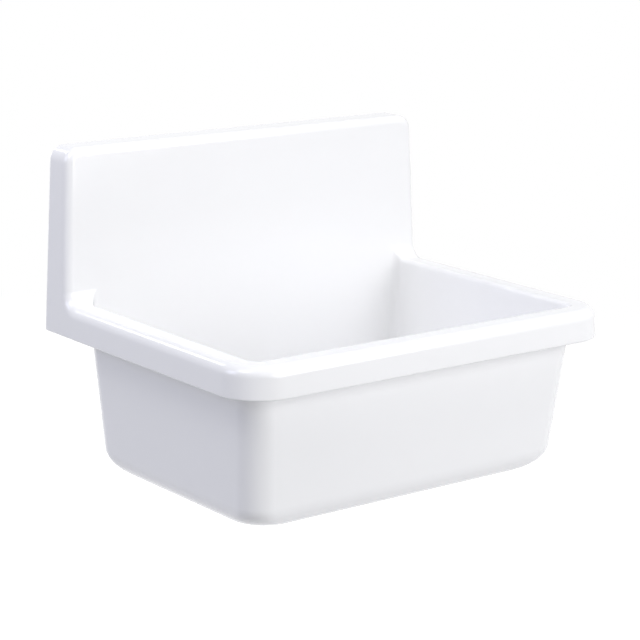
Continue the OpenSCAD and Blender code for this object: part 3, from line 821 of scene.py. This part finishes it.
        last = angles[-1]
        half = [Vector((-(x - radius) * i / BACK_COUNT, y_back, z)) for i in range(BACK_COUNT)]
        half += [round_corner(a, run) for a, run in zip(angles, runs)]
        straight = REAR_STEPS + SIDE_STEPS if last <= 1e-9 else SIDE_STEPS
        if last > 1e-9:
            half += [round_corner(last * (1 - i / REAR_STEPS))
                     for i in range(1, REAR_STEPS + 1)]
        start, end = y_back - radius - runs[-1], y_front + radius
        half += [Vector((-x, between(start, end, i / (straight + 1)), z))
                 for i in range(1, straight + 1)]
        for i in range(TURN_STEPS + 1):
            a = QUARTER * i / TURN_STEPS
            half.append(Vector((-(x - radius) - radius * math.cos(a),
                                y_front + radius - radius * math.sin(a), z)))
        half += [Vector((-(x - radius) * (1 - i / FRONT_STEPS), y_front, z))
                 for i in range(1, FRONT_STEPS + 1)]
        return half

    def inside_half(self, z, inset=0):
        s = self.s
        steps = range(COVE_STEPS + 1)
        return self.basin_half(
            self.side_in_x(z) - inset, self.front_in_y(z) + inset, self.back_in_y(z) - inset,
            z, between(s.inside_corner, s.floor_corner, inset / s.floor_edge),
            [self.rear_angle(i) for i in steps],
            [max(0, self.cove_run(i) - s.inside_corner) for i in steps])

    def outside_half(self, z, inset=0):
        s = self.s
        steps = range(COVE_STEPS + 1)
        out = s.wall - inset
        return self.basin_half(
            self.side_in_x(z) + out, self.front_in_y(z) - out, self.back_in_y(z) + out,
            z, between(s.outside_corner, s.base_corner, inset / s.base_edge),
            [QUARTER * (1 - i / COVE_STEPS) for i in steps], [0 for i in steps])

    def inner_edge(self):
        """The rim's inner edge: (point, facing normal, wall normal). Towards the splashback
        it climbs the cove and runs out on the splashback's face."""
        s = self.s
        edge = []
        for i, point in enumerate(self.inside_half(0)):
            step = i - BACK_COUNT
            turn = min(max(i - TURN_START, 0), TURN_STEPS)
            a = QUARTER * (1 - min(max(step / COVE_STEPS, 0), 1))
            facing = Vector((0, -math.sin(a), math.cos(a)))
            z = s.cove * (1 - math.cos(a))
            if step <= COVE_STEPS:
                b = self.rear_angle(max(step, 0))
            elif step <= COVE_STEPS + REAR_STEPS:
                b = self.rear_angle(COVE_STEPS) * (1 - (step - COVE_STEPS) / REAR_STEPS)
            else:
                b = -QUARTER * turn / TURN_STEPS
            wall = (Vector((math.cos(b), -math.sin(b), 0)) * math.cos(s.side_taper)
                    + Vector((0, 0, math.sin(s.side_taper))))
            edge.append((Vector((point.x, point.y, z)), facing,
                         facing if step <= 0 else wall))
        return edge

    def drain_circle(self, half, radius, z):
        """A circle round the outlet, with its points in line with those of the half ring."""
        centre = Vector((0, self.drain_y, 0))
        flat = [Vector((p.x, p.y, 0)) - centre for p in half]
        return [Vector((0, self.drain_y, z)) + radius * p.normalized() for p in flat]

    def rings(self):
        """Half rings, from the outlet hole over the underside and the rim back to the hole."""
        s = self.s
        hole, seat = s.outlet_hole / 2, s.outlet_seat / 2
        under = -s.basin_height
        edge = self.outer_edge()
        lower = self.lower_edge(edge)
        base = self.outside_half(under, s.base_edge)
        half_rings = [self.drain_circle(base, hole, under),
                      self.drain_circle(base, hole + LAND_UNDER, under)]
        for i in range(FILLET_STEPS + 1):
            a = QUARTER * (1 - i / FILLET_STEPS)
            half_rings.append(self.outside_half(under + s.base_edge * (1 - math.sin(a)),
                                                s.base_edge * (1 - math.cos(a))))
        wall_low = under + s.base_edge
        half_rings += [self.outside_half(between(wall_low, -s.apron_height, i / WALL_STEPS))
                       for i in range(1, WALL_STEPS + 1)]
        half_rings += [self.under_edge(lower), lower]
        outer = [rounded(*entry) for entry in edge]
        inner = [rounded(*entry, s.inner_edge) for entry in self.inner_edge()]
        half_rings += [[arc[i] for arc in outer] for i in range(EDGE_STEPS + 1)]
        half_rings += [[arc[i] for arc in inner] for i in range(EDGE_STEPS + 1)]
        wall_top = -WALL_START * s.inner_edge
        half_rings += [self.inside_half(
            between(wall_top, self.floor_edge_z + s.floor_edge, i / WALL_STEPS))
            for i in range(WALL_STEPS)]
        for i in range(FILLET_STEPS + 1):
            a = QUARTER * i / FILLET_STEPS
            half_rings.append(self.inside_half(
                self.floor_edge_z + s.floor_edge * (1 - math.sin(a)),
                s.floor_edge * (1 - math.cos(a))))
        dish = half_rings[-1]
        land = self.drain_circle(dish, seat + LAND_INSIDE, self.floor_z)
        for i in range(1, DISH_STEPS + 1):
            share = i / DISH_STEPS
            half_rings.append([a.lerp(b, share) for a, b in zip(dish, land)])
        half_rings += [self.drain_circle(dish, seat, self.floor_z),
                       self.drain_circle(dish, seat, self.floor_z - s.seat_depth),
                       self.drain_circle(dish, hole, self.floor_z - s.seat_depth)]
        half_rings.append(half_rings[0])
        return [half + [Vector((-p.x, p.y, p.z)) for p in half[-2:0:-1]]
                for half in half_rings]


def bevel_share(form, a, b):
    """How strongly an edge of the casting is rounded, as a share of the widest bevel. That is
    the lower edge at the wall. The splashback's rear outline has a small share of it."""
    s = form.s
    near = 0.05 * MM
    low, under = -s.apron_height, -s.basin_height
    level = abs(a.z - b.z) < near
    if abs(a.y) < near and abs(b.y) < near:
        if level and abs(a.z - low) < near:
            return 1.0
        outline = all(abs(p.x) > form.side_x(p.z) - near or p.z > s.back_height
                      - s.back_corner - near for p in (a, b))
        return REAR_SHARE if outline else 0.0
    if level and abs(a.z - low) < near:
        turn_x, turn_y = s.width / 2 - s.front_corner, -s.depth + s.front_corner

        def on_border(p):
            if abs(p.x) > s.width / 2 - near or p.y < -s.depth + near:
                return True
            flat = Vector((abs(p.x) - turn_x, p.y - turn_y))
            return (flat.x > 0 and flat.y < 0
                    and abs(flat.length - s.front_corner) < 0.2 * MM)
        lower = s.lower_edge / s.rear_edge
        return lower if on_border(a) and on_border(b) else 0.0
    return 0.0


class SINK_OT_casting(bpy.types.Operator):
    """Models the one-piece fireclay casting: basin, rim, apron and splashback"""
    bl_idname = "sink.casting"
    bl_label = "Casting"

    def execute(self, context):
        form = CastingForm(context.scene.sink_casting)
        piece = shape_rings("sink_casting", form.rings())
        weigh_edges(piece, lambda a, b: bevel_share(form, a, b))
        apply_modifier(piece, "BEVEL", width=form.s.rear_edge, segments=5,
                       limit_method="WEIGHT", use_clamp_overlap=True)
        self.cut_recess(piece, context.scene.sink_hanger)
        complete(piece, glazed_fireclay(context.scene.sink_finishes), "sink", "white_glaze",
                 "sink_body")
        return {"FINISHED"}

    def cut_recess(self, piece, s):
        """Cuts the hanger's recess, open to the wall below the seat and behind the lip above
        it. The lip then hangs in the hooks."""
        behind = 5 * MM
        overlap = 3 * s.recess_corner
        for low, high, front in ((s.seat - s.recess_drop, s.seat, behind),
                                 (s.seat - overlap, s.seat + s.recess_rise, -s.lip)):
            cut(piece, self.slot(s.recess_width, low, high, front, -s.recess_depth,
                                 s.recess_corner))

    def slot(self, width, low, high, front, back, radius):
        """A block with rounded corners in its outline, to cut a slot with."""
        select_nothing()
        bpy.ops.mesh.primitive_cube_add(
            size=1, location=(0, (front + back) / 2, (low + high) / 2),
            scale=(width, front - back, high - low))
        block = bpy.context.object
        bpy.ops.object.transform_apply(location=True, rotation=True, scale=True)
        bpy.ops.object.mode_set(mode="EDIT")
        mesh = bmesh.from_edit_mesh(block.data)
        for edge in mesh.edges:
            a, b = (v.co for v in edge.verts)
            edge.select_set(abs(a.x - b.x) < MM and abs(a.z - b.z) < MM)
        bmesh.update_edit_mesh(block.data)
        bpy.ops.mesh.bevel(offset=radius, segments=6)
        bpy.ops.object.mode_set(mode="OBJECT")
        return block


def outlet_axis():
    """The foot of the outlet's axis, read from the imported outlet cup."""
    low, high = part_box("drain_body")
    return Vector((0, (low[1] + high[1]) / 2, 0))


def heights(node):
    """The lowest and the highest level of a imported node."""
    low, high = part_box(node)
    return low[2], high[2]


def ring_section(inner, outer, low, high, ease):
    """Section of a flat ring with eased edges."""
    section = eased((inner, low, ease), (outer, low, ease), (outer, high, ease),
                    (inner, high, ease))
    return lambda share: section


def nut_outline(share, flats, bore, low, high, ease):
    """Section of a hexagon nut whose corners are turned down, at one share of a turn."""
    reach, flat = hexagon(share, flats), flats / 2
    fall = (reach - flat) * CHAMFER
    return [Vector(p) for p in (
        (bore, low + ease), (bore + ease, low), (flat - ease, low),
        (reach, low + fall), (reach, high - fall), (flat - ease, high),
        (bore + ease, high), (bore, high - ease))]


class SINK_OT_outlet(bpy.types.Operator):
    """Models the outlet cup, its seals and its locknut"""
    bl_idname = "sink.outlet"
    bl_label = "Outlet"

    def execute(self, context):
        s = context.scene.sink_outlet
        colours = context.scene.sink_finishes
        axis = outlet_axis()
        polished = turned_steel("polished_steel", colours, 0.08, axis)
        rubber = black_rubber(colours)
        cup = turned("outlet_cup", 120, lambda share: self.cup(s, share), axis)
        complete(cup, polished, "sink", "polished_steel", "drain_body", 40)
        for name, node, outer, ease, material, slot in (
                ("flange_ring", "flange_seal", s.flange - 2 * MM, 0.4, rubber, "black_rubber"),
                ("outlet_gasket", "drain_gasket", s.flange, 0.8, rubber, "black_rubber"),
                ("slip_ring", "friction_ring", s.locknut_ring, 0.25, pressed_fibre(colours),
                 "fibre")):
            section = ring_section(s.ring_bore / 2, outer / 2, *heights(node), ease * MM)
            complete(turned(name, 96, section, axis), material, "sink", slot, node)
        locknut = turned("lugged_locknut", 120, lambda share: self.locknut(s, share), axis)
        break_edges(locknut, 0.9 * MM, 50, 3)
        complete(locknut, cast_zinc(colours), "sink", "cast_zinc", "drain_locknut")
        return {"FINISHED"}

    def cup(self, s, share):
        """Section of the cup: its flange, its ledge, its sump, the outlet and both threads."""
        barrel, lip, outlet, bore = s.barrel / 2, s.flange / 2, s.outlet / 2, s.bore / 2
        cup = barrel - s.cup_wall
        sump = cup - s.ledge
        low, top = heights("drain_body")
        under = top - s.flange_thickness
        ledge = under - s.ledge_depth
        foot = under - s.cup_depth
        floor = foot + s.cup_wall
        shoulder = 5 * MM
        outlet_thread, barrel_thread = 0.8 * MM, 1 * MM
        plain_outlet, plain_barrel = 3 * MM, 7 * MM
        return [
            *eased((barrel, under, 0), (lip, under, 0.3 * MM), (lip, top - 1.2 * MM, 0.9 * MM),
                   (lip - 5 * MM, top, 3 * MM), (barrel, top, 1.5 * MM),
                   (cup, under - 2 * MM, 1.5 * MM), (cup, ledge, 0), (sump, ledge, 0.4 * MM),
                   (sump, floor, 7 * MM), (bore, floor - 0.6 * MM, 1.5 * MM),
                   (bore, low, 0.6 * MM), (outlet - 0.9 * MM, low, 0.3 * MM)),
            *thread(share, outlet, outlet_thread, s.outlet_pitch, low + outlet_thread,
                    foot - plain_outlet),
            Vector((outlet, foot)), Vector((barrel - shoulder, foot)),
            Vector((barrel - barrel_thread, foot + shoulder)),
            *thread(share, barrel, barrel_thread, s.barrel_pitch,
                    foot + shoulder + barrel_thread, under - plain_barrel)]

    def locknut(self, s, share):
        """Section of the locknut: a ring whose outside steps out to six lugs."""
        low, high = heights("drain_locknut")
        ring, bore = s.locknut_ring / 2, s.locknut_bore / 2
        away = abs(2 * math.pi * share % SIXTH - SIXTH / 2)
        half, flank = math.asin(s.lug_width / 2 / ring), math.radians(3)
        outer = ring + s.lug_height * min(max((half - away) / flank + 0.5, 0), 1)
        ease = 0.8 * MM
        return [Vector(p) for p in (
            (bore, low + ease), (bore + ease, low), (outer, low), (outer, high),
            (bore + ease, high), (bore, high - ease))]


# Rings of holes in the strainer plate.
HOLE_ROWS = 3


class SINK_OT_strainer(bpy.types.Operator):
    """Models the strainer grid and its lift knob with washer and nut"""
    bl_idname = "sink.strainer"
    bl_label = "Strainer"

    def execute(self, context):
        s = context.scene.sink_strainer
        colours = context.scene.sink_finishes
        axis = outlet_axis()
        polished = turned_steel("knob_steel", colours, 0.1, axis)
        brushed = turned_steel("brushed_steel", colours, 0.26, axis)
        low = heights("strainer_grid")[0]
        grid = turned("strainer_plate", 96, lambda share: self.plate(s, low), axis,
                      open_ring=True)
        self.perforate(grid, s, axis, low)
        knob = turned("knob", 64, lambda share: self.knob(s, low + s.sheet), axis,
                      open_ring=True)
        washer = turned("washer", 64, ring_section(
            s.stem_hole / 2, 1.2 * s.stem, *heights("knob_washer"), 0.15 * MM), axis)
        nut = turned("nut", 60, lambda share: nut_outline(
            share, s.nut, s.stem / 2 + 0.1 * MM, *heights("knob_nut"), 0.25 * MM), axis)
        for piece, material, slot, node, degrees in (
                (grid, brushed, "brushed_steel", "strainer_grid", 30),
                (knob, polished, "polished_steel", "lift_knob", 50),
                (washer, brushed, "brushed_steel", "knob_washer", 35),
                (nut, brushed, "brushed_steel", "knob_nut", 25)):
            complete(piece, material, "strainer", slot, node, degrees)
        return {"FINISHED"}

    def plate(self, s, low):
        """Section of the pressed plate with its raised brim."""
        edge, wall = s.grid / 2, 1.2 * MM
        return eased((0, low, 0), (edge, low, 0.9 * MM), (edge, low + s.brim, 0.35 * MM),
                     (edge - wall, low + s.brim, 0.35 * MM),
                     (edge - 2 * wall, low + s.sheet, 1.2 * MM), (0, low + s.sheet, 0))

    def perforate(self, grid, s, axis, low):
        """Rings of holes round the stem's hole, with six more in each, all with broken edges."""
        middle = axis + Vector((0, 0, low + s.sheet / 2))
        rim = 2.4 * MM
        last = s.grid / 2 - rim - s.pitch
        places = []
        for row in range(1, HOLE_ROWS + 1):
            radius = last - s.pitch * (HOLE_ROWS - row)
            for hole in range(6 * row):
                a = hole * SIXTH / row
                places.append(middle + radius * Vector((-math.sin(a), math.cos(a), 0)))
        drill(grid, [middle], s.stem_hole, 4 * s.sheet)
        drill(grid, places, s.hole, 4 * s.sheet)
        clean_cuts(grid, 0.25 * MM)

    def knob(self, s, seat):
        """Section of the turned knob: a mushroom head on a waisted neck, over its stem."""
        radius, stem, collar, neck = s.knob / 2, s.stem / 2, 6 * MM, 3.5 * MM
        end = heights("lift_knob")[0]
        foot = seat + 0.1 * MM
        top = seat + s.knob_height
        rise = 0.55 * radius
        head = top - rise
        dome = [Vector((radius * math.cos(a), head + rise * math.sin(a)))
                for a in (math.radians(degree) for degree in range(-25, 90, 5))]
        return [*eased((0, end, 0), (stem, end, 0.6 * MM), (stem, foot, 0),
                       (collar, foot, 0.2 * MM), (collar, foot + 1 * MM, 0.4 * MM),
                       (neck, foot + 2.5 * MM, 1.6 * MM),
                       (neck, head - 0.6 * radius, 2.2 * MM),
                       (0.8 * radius, head - 0.52 * radius, 0.5 * MM)),
                *dome, Vector((0, top))]


class SINK_OT_hanger(bpy.types.Operator):
    """Models the wall hanger, its four screws and their washers"""
    bl_idname = "sink.hanger"
    bl_label = "Wall hanger"

    def execute(self, context):
        s = context.scene.sink_hanger
        colours = context.scene.sink_finishes
        plate = zinc_plate(colours)
        low, high = (Vector(corner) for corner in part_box("hanger_screws"))
        reach = s.head / 2 / math.cos(SIXTH / 2)
        places = [Vector((x, 0, z)) for x in (low.x + reach, high.x - reach)
                  for z in (low.z + s.head / 2, high.z - s.head / 2)]
        hanger = self.strip(s)
        drill(hanger, [place - Vector((0, s.steel / 2, 0)) for place in places], s.hole,
              3 * s.steel, (QUARTER, 0, 0))
        clean_cuts(hanger, 0.5 * MM)
        complete(hanger, galvanised(colours), "sink", "galvanised_steel", "wall_hanger")
        washer_y = -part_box("hanger_washers")[0][1]
        section = ring_section(s.hole / 2, s.washer / 2, washer_y - s.washer_steel, washer_y,
                               0.25 * MM)
        washer = turned("hanger_washer", 64, section, places[0], wall=True)
        head_y = -low.y - s.head_height
        screw = turned("hanger_screw", 48, lambda share: self.screw(s, share, head_y),
                       places[0], wall=True, open_ring=True)
        smooth(washer, 35)
        smooth(screw, 28)
        for number, place in enumerate(places, 1):
            shift = place - places[0]
            for first, node in ((washer, "hanger_washers"), (screw, "hanger_screws")):
                piece = copy_to(first, f"{first.name}_{number}", shift)
                settle(piece, plate, "sink", "zinc_plate", node)
        for first in (washer, screw):
            bpy.data.objects.remove(first)
        return {"FINISHED"}

    def strip(self, s):
        """The bent strip: one section drawn along the wall, with the hooks cut apart."""
        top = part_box("wall_hanger")[1][2] - s.hook_rise
        inside, outside = s.bend, s.bend + s.steel
        shelf = s.lip + s.bend + s.hook_gap
        foot = -s.height
        section = eased(
            (0, foot, 0), (0, 0, outside), (shelf, 0, inside), (shelf, s.hook_rise, 0),
            (shelf + s.steel, s.hook_rise, 0), (shelf + s.steel, -s.steel, outside),
            (s.steel, -s.steel, inside), (s.steel, foot, 0), steps=6)
        rings = [[Vector((x, -p.x, top + p.y)) for p in section]
                 for x in (-s.width / 2, s.width / 2)]
        strip = shape_rings("bent_hanger", rings)
        gap = s.width - 2 * s.hook_length
        depth = 30 * MM
        select_nothing()
        bpy.ops.mesh.primitive_cube_add(
            size=1, location=(0, -(shelf - s.bend) - depth / 2, top),
            scale=(gap, depth, 4 * s.hook_rise))
        cut(strip, bpy.context.object)
        return strip

    def screw(self, s, share, head):
        """Section of a screw at one share of a turn: point, thread, shank and hexagon head."""
        radius, flat, reach = s.screw / 2, s.head / 2, hexagon(share, s.head)
        tip, top = -s.screw_reach, head + s.head_height
        fall = (reach - flat) * CHAMFER
        cone, groove, undercut = 8 * MM, 0.9 * MM, 0.4 * MM
        return [
            Vector((0, tip)), Vector((0.8 * MM, tip + 1 * MM)),
            Vector((radius - groove, tip + cone)),
            *thread(share, radius, groove, s.screw_pitch, tip + cone, -s.screw_plain),
            Vector((radius, 0)), Vector((radius - undercut, undercut)),
            Vector((radius - undercut, head)), Vector((flat - 0.3 * MM, head)),
            Vector((reach, head + 0.2 * MM)), Vector((reach, top - fall - 0.1 * MM)),
            Vector((flat - 0.4 * MM, top)), Vector((0, top))]


# ---- Stage -------------------------------------------------------------------------------

# The camera that was fitted to the casting's edges: place in metres, turn in degrees.
CAMERA_PLACE = (-1.778258, -2.469744, 0.670185)
CAMERA_TURN = (76.37371, -0.92889, -37.93532)
# Width of the sensor in millimetres, and how far the camera sees, in metres.
SENSOR = 36
SIGHT = 50
# The point that all lamps are turned to.
BASIN_MIDDLE = Vector((0, -0.23, 0))
# Where the floor fades into the white, as shares of its radius.
FADE_START, FADE_END = 0.15, 0.4
WHITE = (1, 1, 1)
# Place and diameter of each lamp, in metres.
LAMPS = {
    "front": ((1, -3.2, 0.85), 2.4),
    "overhead": ((0, -0.5, 2.6), 2.4),
    "high_left": ((-1.8, -0.6, 2.2), 1.4),
    "left": ((-3, 0.5, 1.4), 1.6),
    "right": ((1.8, -0.95, 2.25), 0.6),
    "rear": ((-0.7, 2.05, 1.8), 0.6),
    "back": ((0.4, 3.2, 0.0), 1.4),
}


class SINK_OT_stage(bpy.types.Operator):
    """Sets up the floor, the light and the camera"""
    bl_idname = "sink.stage"
    bl_label = "Stage"

    def execute(self, context):
        s = context.scene.sink_stage
        self.add_floor(s)
        self.add_world(context.scene, s)
        self.add_lamps(s)
        self.add_camera(context.scene, s)
        context.scene.view_settings.view_transform = "Standard"
        return {"FINISHED"}

    def add_floor(self, s):
        """A round pale floor that keeps the sink's shadow, fades into the white behind it and
        is clear from below."""
        select_nothing()
        bpy.ops.mesh.primitive_circle_add(vertices=96, radius=s.floor_radius, fill_type="NGON",
                                          location=(0, 0, -s.floor_drop))
        floor = bpy.context.object
        floor.name = "floor"
        finish = Finish("pale_floor", {"Roughness": 0.9, "Base Color": s.floor_colour},
                        alone=False)
        plain = Wave(finish, finish.shader.outputs[0])
        point = finish.add("TexCoord", result="Object")
        away = finish.add("VectorMath", {0: point}, result="Value", operation="LENGTH")
        fade = finish.ramp(away / s.floor_radius, FADE_START, FADE_END)
        glow = finish.add("Emission", {"Color": WHITE, "Strength": s.floor_glow})
        lit = finish.add("AddShader", {0: plain, 1: glow})
        white = finish.add("Emission", {"Color": WHITE, "Strength": s.backdrop})
        above = finish.mix(finish.seen(), plain, finish.mix(fade, lit, white))
        below = finish.add("NewGeometry", result="Backfacing")
        finish.end("Material", finish.mix(below, above, finish.add("BsdfTransparent")))
        floor.data.materials.append(finish.material)

    def add_world(self, scene, s):
        """A cool even light all round, and plain white where the background is seen."""
        scene.world = bpy.data.worlds.new("studio")
        nodes = Nodes(scene.world)
        light = nodes.add("Background", {"Color": s.shade, "Strength": s.world})
        white = nodes.add("Background", {"Color": WHITE, "Strength": s.backdrop})
        nodes.end("World", nodes.mix(nodes.seen(), light, white))

    def add_lamps(self, s):
        """Round soft lamps, all turned to the basin. The image of the one overhead is kept out
        of the glaze, where it would whiten the rim."""
        for name, (place, size) in LAMPS.items():
            select_nothing()
            bpy.ops.object.light_add(type="AREA", location=place)
            lamp = bpy.context.object
            lamp.name = name
            lamp.data.color = s.cool if name == "left" else s.warm
            lamp.data.energy = getattr(s, name)
            lamp.data.shape = "DISK"
            lamp.data.size = size
            lamp.visible_glossy = name != "overhead"
            aim = BASIN_MIDDLE - Vector(place)
            lamp.rotation_euler = aim.to_track_quat("-Z", "Y").to_euler()

    def add_camera(self, scene, s):
        select_nothing()
        turn = [math.radians(a) for a in CAMERA_TURN]
        bpy.ops.object.camera_add(location=CAMERA_PLACE, rotation=turn)
        camera = bpy.context.object
        camera.data.lens = s.lens
        camera.data.sensor_width = SENSOR
        camera.data.clip_end = SIGHT
        scene.camera = camera


class SINK_PT_panel(bpy.types.Panel):
    """Lists the sink's sizes and the steps that model it."""
    bl_label = "Mop Service Sink"
    bl_space_type = "VIEW_3D"
    bl_region_type = "UI"
    bl_category = "Sink"

    def draw(self, context):
        for group, operators in PANEL_ROWS:
            settings = getattr(context.scene, group)
            box = self.layout.box()
            for name in settings.bl_rna.properties.keys():
                if name not in ("rna_type", "name"):
                    box.prop(settings, name)
            for operator in operators:
                box.operator(operator)


PANEL_ROWS = [
    ("sink_casting", ["sink.casting"]),
    ("sink_outlet", ["sink.outlet"]),
    ("sink_strainer", ["sink.strainer"]),
    ("sink_hanger", ["sink.hanger"]),
    ("sink_finishes", []),
    ("sink_stage", ["sink.stage"]),
]
GROUPS = {"sink_casting": CastingSizes, "sink_outlet": OutletSizes,
          "sink_strainer": StrainerSizes, "sink_hanger": HangerSizes,
          "sink_finishes": SinkFinishes, "sink_stage": StageSettings}
CLASSES = [*GROUPS.values(), SINK_OT_casting, SINK_OT_outlet, SINK_OT_strainer,
           SINK_OT_hanger, SINK_OT_stage, SINK_PT_panel]


def register():
    for item in CLASSES:
        bpy.utils.register_class(item)
    for name, group in GROUPS.items():
        setattr(bpy.types.Scene, name, bpy.props.PointerProperty(type=group))


def unregister():
    for name in GROUPS:
        delattr(bpy.types.Scene, name)
    for item in reversed(CLASSES):
        bpy.utils.unregister_class(item)


def main():
    """Models everything, in order."""
    register()
    bpy.ops.sink.casting()
    bpy.ops.sink.outlet()
    bpy.ops.sink.strainer()
    bpy.ops.sink.hanger()
    bpy.ops.sink.stage()


if __name__ == "__main__":
    main()
